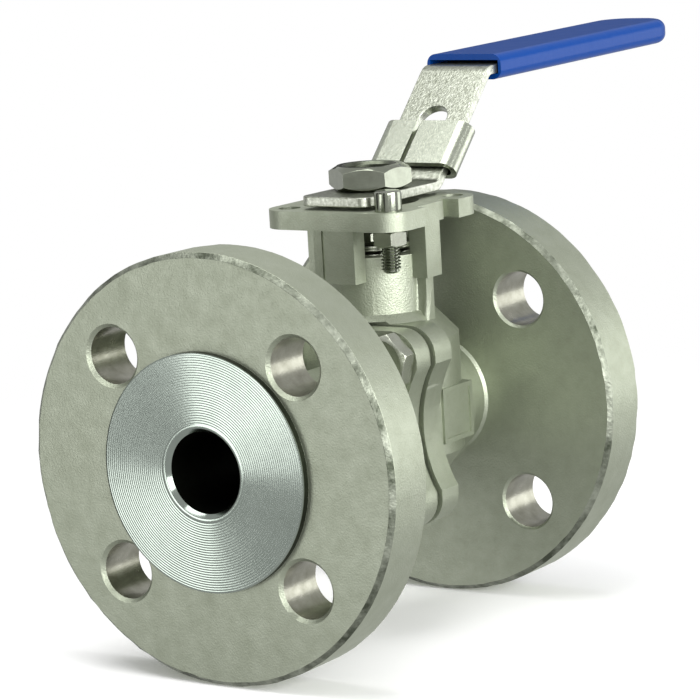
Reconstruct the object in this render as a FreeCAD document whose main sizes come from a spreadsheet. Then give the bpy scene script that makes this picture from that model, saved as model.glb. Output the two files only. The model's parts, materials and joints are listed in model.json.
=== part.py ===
import FreeCAD, Part
import math
import os
import Sketcher

# Two-piece flanged ball valve with a top pad and a lockable hand lever, shown open.
# Frame: origin at the ball's centre, +X along the pipe towards the outlet flange and
# the lever's open direction, +Z up the stem.

doc = FreeCAD.newDocument("BallValve")
sheet = doc.addObject("Spreadsheet::Sheet", "Sizes")


class Size:
    """A length with its value and the sheet expression that gives it."""

    def __init__(self, value, text):
        self.value = value
        self.text = text

    def __add__(self, other):
        other = as_size(other)
        return Size(self.value + other.value, f"({self.text} + {other.text})")

    def __sub__(self, other):
        other = as_size(other)
        return Size(self.value - other.value, f"({self.text} - {other.text})")

    def __mul__(self, other):
        other = as_size(other)
        return Size(self.value * other.value, f"({self.text} * {other.text})")

    def __truediv__(self, other):
        other = as_size(other)
        return Size(self.value / other.value, f"({self.text} / {other.text})")

    def __neg__(self):
        return Size(-self.value, f"(-1 * {self.text})")


def as_size(value):
    if isinstance(value, Size):
        return value
    return Size(float(value), repr(float(value)))


def driving(alias, value, meaning):
    """Write one driving dimension into the sheet."""
    row = driving.next_row
    sheet.set(f"A{row}", meaning)
    sheet.set(f"B{row}", str(value))
    sheet.setAlias(f"B{row}", alias)
    driving.next_row = row + 1
    return Size(float(value), f"Sizes.{alias}")


driving.next_row = 1

# Pipe ends
face_to_face = driving("face_to_face", 120, "length between the two raised faces")
stem_offset = driving("stem_offset", 17.5, "stem axis from mid length, towards the outlet")
flange_diameter = driving("flange_diameter", 105, "outside diameter of both pipe flanges")
flange_thickness = driving("flange_thickness", 17, "pipe flange with its raised face")
raised_inset = driving("raised_inset", 17, "raised face diameter below the pitch circle")
raised_height = driving("raised_height", 2, "raised face height")
bolt_inset = driving("bolt_inset", 30, "pitch circle of the flange bolts below the outside diameter")
bolt_hole = driving("bolt_hole", 14, "flange bolt hole diameter")
bore_diameter = driving("bore_diameter", 20, "flow bore")
mouth_chamfer = driving("mouth_chamfer", 1, "chamfer at each bore mouth")
edge_break = driving("edge_break", 1.2, "chamfer round the pipe flanges")

# Ball chamber
ball_diameter = driving("ball_diameter", 31, "ball")
ball_gap = driving("ball_gap", 0.4, "radial gap between ball and chamber")
seat_gap = driving("seat_gap", 0.15, "running gap between ball and seat")
seat_width = driving("seat_width", 4.9, "seat ring length along the pipe")
seat_inset = driving("seat_inset", 1.2, "seat ring outer radius inside the ball radius")
seat_inside = driving("seat_inside", 1.1, "back of each seat inside the end of the ball")
fit_gap = driving("fit_gap", 0.1, "gap round a part that sits in a pocket")

# Joint between body and end cap
gasket_clear = driving("gasket_clear", 0.5, "body gasket from the collar, along the pipe")
parting_gap = driving("parting_gap", 1, "open gap between the two lobed flanges")
lobe_thickness = driving("lobe_thickness", 7.5, "each lobed flange")
bolt_clear_side = driving("bolt_clear_side", 1.1, "joint bolt outside the ball chamber, sideways")
bolt_clear_up = driving("bolt_clear_up", 2.1, "joint bolt outside the ball chamber, up and down")
lobe_radius = driving("lobe_radius", 7.3, "lobe round each joint bolt")
waist_wall = driving("waist_wall", 2.3, "lobed flange outside the register, between the lobes")
register_step = driving("register_step", 1.6, "register of the end cap outside the ball chamber")
spigot_length = driving("spigot_length", 3, "register length")
gasket_thickness = driving("gasket_thickness", 1, "body gasket")
joint_bolt = driving("joint_bolt", 8, "joint bolt diameter")
joint_head_extra = driving("joint_head_extra", 5, "joint bolt head across flats, over the bolt diameter")
joint_head_height = driving("joint_head_height", 5.3, "joint bolt head height")

# Body outside
barrel_wall = driving("barrel_wall", 2.3, "barrel wall round the ball chamber")
hub_radius = driving("hub_radius", 15.4, "round hub behind the outlet flange")
hub_step = driving("hub_step", 1.6, "end of the barrel beyond the seat, along the pipe")
cap_neck_wall = driving("cap_neck_wall", 6, "end cap wall round the bore, between its flanges")
flange_fillet = driving("flange_fillet", 0.9, "cone where a hub meets its pipe flange")
chamber_wall = driving("chamber_wall", 4.6, "wall of the upright chamber, at its sides and top")
chamber_low = driving("chamber_low", 9, "straight side of the chamber below the pipe axis")
base_wall = driving("base_wall", 5.1, "wall under the ball chamber")
shoulder_height = driving("shoulder_height", 7, "sloping shoulder up to the neck")
neck_wall = driving("neck_wall", 4.5, "neck wall round the packing")
neck_rim = driving("neck_rim", 0.4, "top rim of the neck above the gland")
label_width = driving("label_width", 13.7, "blank cast label, along the pipe")
label_height = driving("label_height", 14.1, "blank cast label, upright")
label_proud = driving("label_proud", 0.4, "label face outside the chamber")
label_start = driving("label_start", -3.5, "near edge of the label from the stem axis")
label_low = driving("label_low", -6.2, "lower edge of the label from the pipe axis")
label_frame = driving("label_frame", 1.2, "raised frame round the label")
label_depth = driving("label_depth", 0.5, "depth of the field inside the frame")

# Mounting pad and its legs
pad_margin = driving("pad_margin", 5.75, "pad edge outside the middle of its holes")
pad_lift = driving("pad_lift", 7.7, "underside of the pad above the neck")
pad_thickness = driving("pad_thickness", 4.7, "pad thickness")
pad_corner = driving("pad_corner", 7, "pad corner radius")
pad_opening_gap = driving("pad_opening_gap", 2.5, "hole through the pad outside the packing chamber")
stop_clear = driving("stop_clear", 1.4, "gap between the lever edge and the stop pin")
pad_hole = driving("pad_hole", 5.6, "pad hole diameter")
recess_half = driving("recess_half", 7, "half width of the lock recess in a pad side")
recess_depth = driving("recess_depth", 4.6, "depth of the lock recess in a pad side")
leg_inset = driving("leg_inset", 2.7, "outer face of each leg inside the pad edge")
leg_root = driving("leg_root", 0.9, "how far each leg runs into the neck")
leg_seam_side = driving("leg_seam_side", 3.3, "cast seam in the front leg, from its middle")
leg_seam_width = driving("leg_seam_width", 0.6, "cast seam in the front leg")
leg_seam_depth = driving("leg_seam_depth", 0.5, "depth of the cast seam")
leg_foot = driving("leg_foot", 6, "foot of each leg below the neck top")
wide_leg = driving("wide_leg", 12, "width of the legs in line with the pipe")
narrow_leg = driving("narrow_leg", 6.8, "width of the legs at the sides")
rib_width = driving("rib_width", 3.4, "rib below each side leg")
rib_face = driving("rib_face", 16.3, "rib face from the stem")

# Stem and packing
stem_diameter = driving("stem_diameter", 12, "stem")
stem_gap = driving("stem_gap", 0.06, "radial running gap round the stem")
collar_step = driving("collar_step", 2, "blow-out-proof collar outside the stem")
collar_gap = driving("collar_gap", 0.5, "gap between the ball and the collar")
collar_height = driving("collar_height", 2.5, "collar")
tang_thickness = driving("tang_thickness", 5, "stem tang, along the pipe when open")
tang_gap = driving("tang_gap", 0.1, "gap each side of the tang")
tang_reach = driving("tang_reach", 3.9, "stem tang, down into the ball")
stem_chamfer = driving("stem_chamfer", 0.8, "chamfer on the stem end")
static_ball_size = driving("static_ball_size", 1.9, "antistatic ball in the collar")
static_inset = driving("static_inset", 1, "antistatic ball centre inside the collar's rim")
static_spring_length = driving("static_spring_length", 2, "antistatic spring")
washer_thickness = driving("washer_thickness", 1.5, "thrust washer")
ring_depth = driving("ring_depth", 1.4, "depth of the ring groove in the stem")
ring_section = driving("ring_section", 1.4, "sealing ring section")
packing_width = driving("packing_width", 3.5, "packing chamber outside the stem")
packing_land = driving("packing_land", 4.5, "floor of the packing chamber above the thrust washer")
packing_height = driving("packing_height", 3.2, "one packing ring")
packing_vee = driving("packing_vee", 0.9, "rise of the packing's V")
gland_height = driving("gland_height", 7.5, "gland above the packing")
spring_height = driving("spring_height", 0.9, "one conical spring washer")
tab_thickness = driving("tab_thickness", 0.8, "tab washer")
gland_nut_extra = driving("gland_nut_extra", 6, "gland nut across flats, over the stem diameter")
gland_nut_height = driving("gland_nut_height", 4.6, "gland nut")

# Lever, grip and nut
lever_lift = driving("lever_lift", 0.9, "lever plate above the pad")
lever_thickness = driving("lever_thickness", 2.5, "lever strip")
lever_width = driving("lever_width", 20, "lever strip")
lever_front = driving("lever_front", 17.5, "lever plate ahead of the stem")
incline_rise = driving("incline_rise", 26.8, "rise of the 45 degree incline")
grip_slope = driving("grip_slope", 0.014, "rise of the grip per millimetre")
lever_length = driving("lever_length", 139, "stem to the end of the strip")
bend_radius = driving("bend_radius", 2.5, "inner radius of both bends")
drive_cut = driving("drive_cut", 1.5, "depth of each flat on the stem end")
drive_gap = driving("drive_gap", 0.1, "gap round the stem in the lever")
padlock_hole = driving("padlock_hole", 8.4, "hole in the incline")
padlock_rise = driving("padlock_rise", 14.3, "hole centre above the plate")
lever_nut_extra = driving("lever_nut_extra", 6.4, "lever nut across flats, over the stem diameter")
lever_nut_height = driving("lever_nut_height", 6.2, "lever nut")
stem_below_nut = driving("stem_below_nut", 1.8, "stem end below the nut's top")
grip_side_wall = driving("grip_side_wall", 0.9, "grip wall at the sides")
grip_wall = driving("grip_wall", 1.6, "grip wall above and below")
grip_start = driving("grip_start", 4.2, "open end of the grip beyond the upper bend")
grip_tip = driving("grip_tip", 5.3, "closed end of the grip beyond the strip")
grip_play = driving("grip_play", 0.5, "slack at the sides of the strip")
grip_head_room = driving("grip_head_room", 1.0, "slack above the strip")

# Lock plate
lock_rest = driving("lock_rest", 0.3, "tongue above the pad when unlocked")
lock_sheet = driving("lock_sheet", 1.5, "sheet")
lock_gap = driving("lock_gap", 0.5, "gap between sheet and strip, front and back")
lock_side_gap = driving("lock_side_gap", 1.5, "gap at the strip's edges")
lock_length = driving("lock_length", 13.9, "sleeve along the incline")
lock_start = driving("lock_start", 4.2, "sleeve's lower end along the incline")
lock_seam = driving("lock_seam", 1.4, "open seam at the front")
lock_seam_side = driving("lock_seam_side", 2, "seam from the middle")
tongue_gap = driving("tongue_gap", 0.7, "gap at each side of the tongue in its recess")

# Stop pin
stop_head = driving("stop_head", 6.9, "stop pin head diameter")
stop_proud = driving("stop_proud", 1.7, "stop pin head above the lever plate")
stop_thread = driving("stop_thread", 5, "stop pin shank diameter")
stop_reach = driving("stop_reach", 10.7, "shank below the pad")
stop_nut_extra = driving("stop_nut_extra", 3, "stop pin nut across flats, over its thread")
stop_nut_height = driving("stop_nut_height", 4, "stop pin nut")

doc.recompute()

# Places that several pieces share
zero = as_size(0)
inlet_face = -(face_to_face / 2 + stem_offset)
outlet_face = face_to_face / 2 - stem_offset
bolt_circle = flange_diameter - bolt_inset
raised_diameter = bolt_circle - raised_inset
bore_radius = bore_diameter / 2
cap_neck_radius = bore_radius + cap_neck_wall

ball_radius = ball_diameter / 2
seat_back = ball_radius - seat_inside
seat_radius = ball_radius - seat_inset
chamber_bore = ball_radius + ball_gap
barrel_radius = chamber_bore + barrel_wall
barrel_end = seat_back + hub_step
chamber_radius = chamber_bore + chamber_wall
chamber_top = chamber_bore + chamber_wall
chamber_base = chamber_bore + base_wall
label_side = chamber_radius + label_proud

spigot_radius = chamber_bore + register_step
waist = spigot_radius + waist_wall
lobe_bolt_side = chamber_bore + bolt_clear_side
lobe_bolt_up = chamber_bore + bolt_clear_up
joint_head_flats = joint_bolt + joint_head_extra

stem_radius = stem_diameter / 2
stem_bore = stem_radius + stem_gap
tang_bottom = ball_radius - tang_reach
collar_radius = stem_radius + collar_step
collar_bottom = ball_radius + collar_gap
collar_top = collar_bottom + collar_height
washer_top = collar_top + washer_thickness
ring_groove = stem_radius - ring_depth
gasket_end = -(collar_radius + gasket_clear)
spigot_end = gasket_end - gasket_thickness
cap_joint = spigot_end - spigot_length
body_joint = cap_joint + parting_gap
body_lobe_back = body_joint + lobe_thickness
cap_lobe_front = cap_joint - lobe_thickness

packing_radius = stem_radius + packing_width
packing_floor = washer_top + packing_land
packing_top = packing_floor + packing_height * 3
gland_top = packing_top + gland_height
gland_nut_flats = stem_diameter + gland_nut_extra

neck_radius = packing_radius + neck_wall
neck_foot = chamber_top + shoulder_height
neck_top = gland_top + neck_rim
pad_bottom = neck_top + pad_lift
pad_top = pad_bottom + pad_thickness
pad_hole_offset = (lever_width + stop_head) / 2 + stop_clear
pad_half = pad_hole_offset + pad_margin
pad_opening = packing_radius + pad_opening_gap
recess_floor = pad_half - recess_depth
leg_face = pad_half - leg_inset
leg_back = neck_radius - leg_root
leg_bottom = neck_top - leg_foot

lever_bottom = pad_top + lever_lift
lever_top = lever_bottom + lever_thickness
lower_bend = recess_floor
rise_end = lower_bend + incline_rise
drive_half = stem_radius - drive_cut
lever_nut_top = lever_top + lever_nut_height
lever_nut_flats = stem_diameter + lever_nut_extra
stem_top = lever_nut_top - stem_below_nut
grip_mouth = rise_end + grip_start
grip_end = lever_length + grip_tip
grip_width = lever_width + (grip_play + grip_side_wall) * 2
grip_height = lever_thickness + grip_head_room + grip_wall * 2
tongue_half = recess_half - tongue_gap

stop_height = lever_lift + lever_thickness + stop_proud
stop_nut_flats = stop_thread + stop_nut_extra
HEX_CORNER = 1 / math.cos(math.radians(30))
HALF_DIAGONAL = math.sqrt(0.5)


# Small builders shared by every piece

def bind(feature, name, size):
    """Give a property its value from the sheet."""
    feature.setExpression(name, as_size(size).text)


def place(feature, x, y, z):
    bind(feature, "Placement.Base.x", x)
    bind(feature, "Placement.Base.y", y)
    bind(feature, "Placement.Base.z", z)


TURN = {
    "X": FreeCAD.Rotation(FreeCAD.Vector(0, 1, 0), 90),
    "Y": FreeCAD.Rotation(FreeCAD.Vector(1, 0, 0), -90),
    "Z": FreeCAD.Rotation(),
}


def box(name, x, y, z):
    """A block between two planes along each axis."""
    feature = doc.addObject("Part::Box", name)
    bind(feature, "Length", as_size(x[1]) - x[0])
    bind(feature, "Width", as_size(y[1]) - y[0])
    bind(feature, "Height", as_size(z[1]) - z[0])
    place(feature, x[0], y[0], z[0])
    return feature


def along(feature, axis, start, centre):
    """Stand a round feature on its axis, centre being the other two coordinates."""
    feature.Placement.Rotation = TURN[axis]
    first, second = centre
    if axis == "X":
        place(feature, start, first, second)
    elif axis == "Y":
        place(feature, first, start, second)
    else:
        place(feature, first, second, start)
    return feature


def cylinder(name, axis, start, end, radius, centre=(0, 0)):
    feature = doc.addObject("Part::Cylinder", name)
    bind(feature, "Radius", radius)
    bind(feature, "Height", as_size(end) - start)
    return along(feature, axis, start, centre)


def cone(name, axis, start, end, first_radius, last_radius, centre=(0, 0)):
    feature = doc.addObject("Part::Cone", name)
    bind(feature, "Radius1", first_radius)
    bind(feature, "Radius2", last_radius)
    bind(feature, "Height", as_size(end) - start)
    return along(feature, axis, start, centre)


def prism(name, axis, start, end, sides, corner_radius, centre=(0, 0), turn=0):
    feature = doc.addObject("Part::Prism", name)
    feature.Polygon = sides
    bind(feature, "Circumradius", corner_radius)
    bind(feature, "Height", as_size(end) - start)
    along(feature, axis, start, centre)
    spin = FreeCAD.Rotation(FreeCAD.Vector(0, 0, 1), turn)
    feature.Placement.Rotation = TURN[axis].multiply(spin)
    return feature


def fuse(name, shapes):
    feature = doc.addObject("Part::MultiFuse", name)
    feature.Shapes = shapes
    return feature


def common(name, first, second):
    feature = doc.addObject("Part::MultiCommon", name)
    feature.Shapes = [first, second]
    return feature


def cut(name, base, tools):
    """The base less its tools."""
    feature = doc.addObject("Part::Cut", name)
    feature.Base = base
    feature.Tool = tools[0] if len(tools) == 1 else fuse(f"{name}_tools", tools)
    return feature


def outline(body, plane, name, corners):
    """A closed sketch of straight edges, each corner bound to its two sizes."""
    sketch = body.newObject("Sketcher::SketchObject", name)
    origin = [f for f in body.Origin.OriginFeatures if f.Role == plane][0]
    sketch.AttachmentSupport = [(origin, "")]
    sketch.MapMode = "FlatFace"
    points = [FreeCAD.Vector(as_size(a).value, as_size(b).value, 0) for a, b in corners]
    count = len(points)
    for i in range(count):
        sketch.addGeometry(Part.LineSegment(points[i], points[(i + 1) % count]), False)
    for i in range(count):
        sketch.addConstraint(Sketcher.Constraint("Coincident", i, 2, (i + 1) % count, 1))
    for i, (a, b) in enumerate(corners):
        for kind, axis, size in (("DistanceX", -2, as_size(a)), ("DistanceY", -1, as_size(b))):
            if abs(size.value) < 1e-9:
                sketch.addConstraint(Sketcher.Constraint("PointOnObject", i, 1, axis))
                continue
            index = sketch.addConstraint(Sketcher.Constraint(kind, i, 1, size.value))
            sketch.setExpression(f"Constraints[{index}]", size.text)
    return sketch


def turned(name, axis, corners):
    """A piece turned on a lathe: corners are (along, radius) pairs."""
    body = doc.addObject("PartDesign::Body", name)
    if axis == "X":
        profile = outline(body, "XZ_Plane", f"{name}_profile", corners)
        spin_axis = "H_Axis"
    else:
        swapped = [(radius, height) for height, radius in corners]
        profile = outline(body, "XZ_Plane", f"{name}_profile", swapped)
        spin_axis = "V_Axis"
    doc.recompute()
    revolution = body.newObject("PartDesign::Revolution", f"{name}_turned")
    revolution.Profile = profile
    revolution.ReferenceAxis = (profile, [spin_axis])
    revolution.Angle = 360
    body.Tip = revolution
    return body


def pad_profile(name, plane, corners, length):
    """A plate cut from stock, its thickness split evenly about the sketch plane."""
    body = doc.addObject("PartDesign::Body", name)
    profile = outline(body, plane, f"{name}_profile", corners)
    doc.recompute()
    pad = body.newObject("PartDesign::Pad", f"{name}_pad")
    pad.Profile = profile
    pad.Midplane = True
    bind(pad, "Length", length)
    body.Tip = pad
    doc.recompute()
    return body


def edge_names(shape, test):
    """Names of the straight edges whose direction and middle pass the test."""
    names = []
    for number, edge in enumerate(shape.Edges, 1):
        if not isinstance(edge.Curve, Part.Line):
            continue
        middle = (edge.firstVertex().Point + edge.lastVertex().Point) * 0.5
        if test(edge.Curve.Direction, middle):
            names.append(f"Edge{number}")
    return names


def round_edges(body, name, test, radius):
    """Fillet the chosen edges of a PartDesign body."""
    base = body.Tip
    fillet = body.newObject("PartDesign::Fillet", name)
    fillet.Base = (base, edge_names(base.Shape, test))
    bind(fillet, "Radius", radius)
    body.Tip = fillet
    doc.recompute()


def hex_piece(name, axis, start, end, flats, centre=(0, 0), turn=0, both=True):
    """A hexagon with its corners turned off at one end or both."""
    inner = flats * 0.45
    corner = flats * (0.5 * HEX_CORNER)
    slope = (corner - inner) * 0.6
    hexagon = prism(f"{name}_hexagon", axis, start, end, 6, corner, centre, turn)
    far = cone(f"{name}_far", axis, as_size(end) - slope, end, corner, inner, centre)
    if both:
        near = cone(f"{name}_near", axis, start, as_size(start) + slope, inner, corner, centre)
        middle = cylinder(f"{name}_middle", axis, as_size(start) + slope,
                          as_size(end) - slope, corner, centre)
        return common(f"{name}_blank", hexagon, fuse(f"{name}_round", [near, middle, far]))
    middle = cylinder(f"{name}_middle", axis, start, as_size(end) - slope, corner, centre)
    return common(f"{name}_blank", hexagon, fuse(f"{name}_round", [middle, far]))


nodes = []


def keep(feature, label):
    """Name a finished piece and put it on the list that is written out."""
    feature.Label = label
    nodes.append(feature)


CORNERS = ((-1, 1), (1, 1), (1, -1), (-1, -1))


# Pipe flange: rim with broken edges and raised face. `side` is -1 at the inlet.

def pipe_flange(prefix, face, side):
    rim_face = face - raised_height * side
    back = face - flange_thickness * side
    rim = turned(f"{prefix}_rim", "X", [
        (back, 0), (back, flange_diameter / 2 - edge_break),
        (back + edge_break * side, flange_diameter / 2),
        (rim_face - edge_break * side, flange_diameter / 2),
        (rim_face, flange_diameter / 2 - edge_break), (rim_face, 0),
    ])
    inner, outer = (face, rim_face) if side < 0 else (rim_face, face)
    raised = cylinder(f"{prefix}_raised", "X", inner, outer, raised_diameter / 2)
    return [rim, raised], back


def flange_holes(prefix, face, back):
    """Four bolt holes on the pitch circle, midway between the axes."""
    low, high = (face, back) if face.value < back.value else (back, face)
    offset = bolt_circle / 2 * HALF_DIAGONAL
    tools = []
    for number, (side_y, side_z) in enumerate(CORNERS, 1):
        centre = (offset * side_y, offset * side_z)
        tools.append(cylinder(f"{prefix}_bolt_hole_{number}", "X", low - 1, high + 1,
                              bolt_hole / 2, centre))
    return tools


def bore_mouth(prefix, face, side):
    """The chamfer at a bore mouth."""
    inside = face - mouth_chamfer * side
    wide = bore_radius + mouth_chamfer
    if side < 0:
        return cone(f"{prefix}_mouth", "X", face, inside, wide, bore_radius)
    return cone(f"{prefix}_mouth", "X", inside, face, bore_radius, wide)


def lobed_flange(prefix, start, end):
    """Rounded rectangle with a lobe at each joint bolt and a hollow waist at each side."""
    half_side = lobe_bolt_side + lobe_radius
    half_up = lobe_bolt_up + lobe_radius
    plates = [
        box(f"{prefix}_upright", (start, end), (-lobe_bolt_side, lobe_bolt_side),
            (-half_up, half_up)),
        box(f"{prefix}_across", (start, end), (-half_side, half_side),
            (-lobe_bolt_up, lobe_bolt_up)),
    ]
    for number, (side_y, side_z) in enumerate(CORNERS, 1):
        plates.append(cylinder(f"{prefix}_lobe_{number}", "X", start, end, lobe_radius,
                               (lobe_bolt_side * side_y, lobe_bolt_up * side_z)))
    # The waist arc touches both lobes of its side.
    reach = waist - lobe_bolt_side
    arc = ((reach * reach + lobe_bolt_up * lobe_bolt_up - lobe_radius * lobe_radius)
           / ((lobe_radius - reach) * 2))
    hollows = [cylinder(f"{prefix}_waist_{number}", "X", start - 1, end + 1, arc,
                        ((waist + arc) * side, 0))
               for number, side in enumerate((-1, 1), 1)]
    return cut(f"{prefix}_lobed", fuse(f"{prefix}_plate", plates), hollows)


def joint_holes(prefix, start, end, radius):
    return [cylinder(f"{prefix}_joint_hole_{number}", "X", start - 1, end + 1, radius,
                     (lobe_bolt_side * side_y, lobe_bolt_up * side_z))
            for number, (side_y, side_z) in enumerate(CORNERS, 1)]


# Body casting: outlet flange, hub, chamber, lobed flange, neck, legs and pad.

outlet_rim, outlet_back = pipe_flange("outlet", outlet_face, 1)
solids = outlet_rim + [
    lobed_flange("body", body_joint, body_lobe_back),
    cylinder("barrel", "X", body_lobe_back - 1, barrel_end, barrel_radius),
    cone("barrel_edge", "X", barrel_end, barrel_end + edge_break, barrel_radius, hub_radius),
    cylinder("hub", "X", body_lobe_back, outlet_back + 1, hub_radius),
    cone("outlet_root", "X", outlet_back - flange_fillet, outlet_back + 0.5,
         hub_radius, hub_radius + flange_fillet),
    cone("chamber_foot", "Z", -chamber_base, -chamber_low, chamber_radius * 0.55, chamber_radius),
    cylinder("chamber", "Z", -chamber_low, chamber_top, chamber_radius),
    cone("shoulder", "Z", chamber_top, neck_foot, chamber_radius, neck_radius),
    cylinder("neck", "Z", neck_foot - 1, neck_top, neck_radius),
]

# Blank cast label on the chamber's side
solids.append(box("label", (label_start, label_start + label_width),
                  (-label_side, -label_side + 6), (label_low, label_low + label_height)))

# Legs up to the pad, with a rib below each side leg
for number, side in enumerate((-1, 1), 1):
    low, high = sorted((leg_face * side, leg_back * side), key=lambda size: size.value)
    solids.append(box(f"wide_leg_{number}", (low, high),
                      (-wide_leg / 2, wide_leg / 2), (leg_bottom, pad_bottom + 1)))
    solids.append(box(f"narrow_leg_{number}", (-narrow_leg / 2, narrow_leg / 2),
                      (low, high), (leg_bottom, pad_bottom + 1)))
    low, high = sorted((rib_face * side, leg_back * side), key=lambda size: size.value)
    solids.append(box(f"rib_{number}", (-rib_width / 2, rib_width / 2), (low, high),
                      (chamber_top, leg_bottom + 1)))

# Pad plate with rounded corners
pad_inner = pad_half - pad_corner
pad_solids = [
    box("pad_long", (-pad_half, pad_half), (-pad_inner, pad_inner), (pad_bottom, pad_top)),
    box("pad_wide", (-pad_inner, pad_inner), (-pad_half, pad_half), (pad_bottom, pad_top)),
]
for number, (side_x, side_y) in enumerate(CORNERS, 1):
    pad_solids.append(cylinder(f"pad_corner_{number}", "Z", pad_bottom, pad_top, pad_corner,
                               (pad_inner * side_x, pad_inner * side_y)))
# The lock's tongue drops beside the legs: behind the stem when open, at the side when shut.
recesses = [
    box("open_recess", (recess_floor, pad_half + 1), (-recess_half, recess_half),
        (pad_bottom - 1, pad_top + 1)),
    box("shut_recess", (-recess_half, recess_half + 1.5), (-pad_half - 1, -recess_floor),
        (pad_bottom - 1, pad_top + 1)),
]
recess_backs = [
    box("open_leg_top", (leg_back, leg_face), (-wide_leg / 2, wide_leg / 2),
        (pad_bottom - 1, pad_top)),
    box("shut_leg_top", (-recess_half, narrow_leg / 2 + 2), (-leg_face, -leg_back),
        (pad_bottom, pad_top)),
]
pad_plate = cut("pad_plate", fuse("pad_blank", pad_solids), recesses)
solids += [pad_plate] + recess_backs

# The neck overhangs the end cap; everything lower stops at the parting face.
trim = box("parting_trim", (body_joint - 30, body_joint), (-60, 60), (-60, neck_foot - 1.5))
shell = cut("body_shell", fuse("body_blank", solids), [trim])

hollows = [
    cylinder("outlet_bore", "X", 0, outlet_face + 1, bore_radius),
    bore_mouth("outlet", outlet_face, 1),
    cylinder("ball_chamber", "X", body_joint - 1, seat_back - seat_width, chamber_bore),
    cylinder("register", "X", body_joint - 1, gasket_end, spigot_radius + fit_gap),
    cylinder("outlet_seat_pocket", "X", 0, seat_back, seat_radius + fit_gap),
    cylinder("collar_pocket", "Z", 5, washer_top, collar_radius + fit_gap),
    cylinder("stem_hole", "Z", washer_top - 1, packing_floor + 1, stem_bore),
    cylinder("packing_chamber", "Z", packing_floor, neck_top + 1, packing_radius),
    cylinder("pad_middle", "Z", neck_top, pad_top + 1, pad_opening),
    box("label_field",
        (label_start + label_frame, label_start + label_width - label_frame),
        (-label_side - 1, -label_side + label_depth),
        (label_low + label_frame, label_low + label_height - label_frame)),
]
hollows.append(box("leg_seam", (-leg_face - 1, -leg_face + leg_seam_depth),
                   (leg_seam_side - leg_seam_width / 2, leg_seam_side + leg_seam_width / 2),
                   (leg_bottom + 1, pad_bottom)))
for number, (side_x, side_y) in enumerate(CORNERS, 1):
    stops_here = side_x < 0 and side_y < 0
    radius = stop_thread / 2 + fit_gap if stops_here else pad_hole / 2
    hollows.append(cylinder(f"pad_hole_{number}", "Z", pad_bottom - 1, pad_top + 1, radius,
                            (pad_hole_offset * side_x, pad_hole_offset * side_y)))
hollows += joint_holes("body", body_joint, body_lobe_back, joint_bolt / 2 + fit_gap)
hollows += flange_holes("outlet", outlet_face, outlet_back)
keep(cut("body_casting", shell, hollows), "body")


# End cap: inlet flange, neck, lobed flange and the register that enters the body.

inlet_rim, inlet_back = pipe_flange("inlet", inlet_face, -1)
solids = inlet_rim + [
    cylinder("cap_neck", "X", inlet_back - 1, cap_lobe_front + 1, cap_neck_radius),
    cone("inlet_root", "X", inlet_back - 0.5, inlet_back + flange_fillet,
         cap_neck_radius + flange_fillet, cap_neck_radius),
    lobed_flange("cap", cap_lobe_front, cap_joint),
    cylinder("spigot", "X", cap_joint - 1, spigot_end, spigot_radius),
]
hollows = [
    cylinder("inlet_bore", "X", inlet_face - 1, 0, bore_radius),
    bore_mouth("inlet", inlet_face, -1),
    cylinder("inlet_seat_pocket", "X", -seat_back, 0, seat_radius + fit_gap),
]
hollows += joint_holes("cap", cap_lobe_front, cap_joint, joint_bolt / 2 + 0.3)
hollows += flange_holes("inlet", inlet_face, inlet_back)
keep(cut("cap_casting", fuse("cap_blank", solids), hollows), "end_cap")

keep(turned("gasket", "X", [
    (spigot_end, seat_radius + 1.8), (gasket_end, seat_radius + 1.8),
    (gasket_end, spigot_radius), (spigot_end, spigot_radius),
]), "body_gasket")


# Seats: rings whose inner edge follows the ball with a running gap.

for label, side in (("seat_inlet", -1), ("seat_outlet", 1)):
    front = (seat_back - seat_width + 0.1) * side
    back = seat_back * side
    ring = turned(f"{label}_ring", "X", [
        (back, bore_radius), (front, bore_radius), (front, seat_radius), (back, seat_radius),
    ])
    sphere = doc.addObject("Part::Sphere", f"{label}_relief")
    bind(sphere, "Radius", ball_radius + seat_gap)
    keep(cut(f"{label}_cut", ring, [sphere]), label)


# Ball with its through bore and the slot that the stem turns it by.

sphere = doc.addObject("Part::Sphere", "ball_sphere")
bind(sphere, "Radius", ball_radius)
slot_bottom = tang_bottom - tang_gap
slot_half = tang_thickness / 2 + tang_gap
keep(cut("ball_cut", sphere, [
    cylinder("ball_bore", "X", -ball_radius - 1, ball_radius + 1, bore_radius),
    box("ball_slot", (-slot_half, slot_half), (-ball_radius, ball_radius),
        (slot_bottom, ball_radius + 1)),
]), "ball")


# Stem: tang, collar, ring groove, shaft and the flatted, threaded end.

groove_low = washer_top + 1
shaft = turned("stem_shaft", "Z", [
    (collar_bottom, 0), (collar_bottom, collar_radius), (collar_top, collar_radius),
    (collar_top, stem_radius), (groove_low, stem_radius), (groove_low, ring_groove),
    (groove_low + ring_section + 0.2, ring_groove),
    (groove_low + ring_section + 0.2, stem_radius),
    (stem_top - stem_chamfer, stem_radius), (stem_top, stem_radius - stem_chamfer),
    (stem_top, 0),
])
tang = common("stem_tang",
              box("tang_block", (-tang_thickness / 2, tang_thickness / 2),
                  (-collar_radius, collar_radius), (tang_bottom, collar_bottom + 1)),
              cylinder("tang_round", "Z", tang_bottom - 1, collar_bottom + 1, collar_radius))
flats = [box(f"stem_flat_{number}", (-collar_radius, collar_radius),
             (drive_half, 20) if side > 0 else (-20, -drive_half),
             (lever_bottom, stem_top + 1))
         for number, side in enumerate((-1, 1), 1)]
static_level = collar_bottom + collar_height / 2
static_place = -(collar_radius - static_inset)
spring_start = static_place + static_inset
spring_end = spring_start + static_spring_length
spring_hole = cylinder("spring_hole", "Y", -collar_radius - 1, spring_end,
                       static_ball_size / 2 + fit_gap * 1.5, (0, static_level))
keep(cut("stem_cut", fuse("stem_blank", [shaft, tang]), flats + [spring_hole]), "stem")

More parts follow.
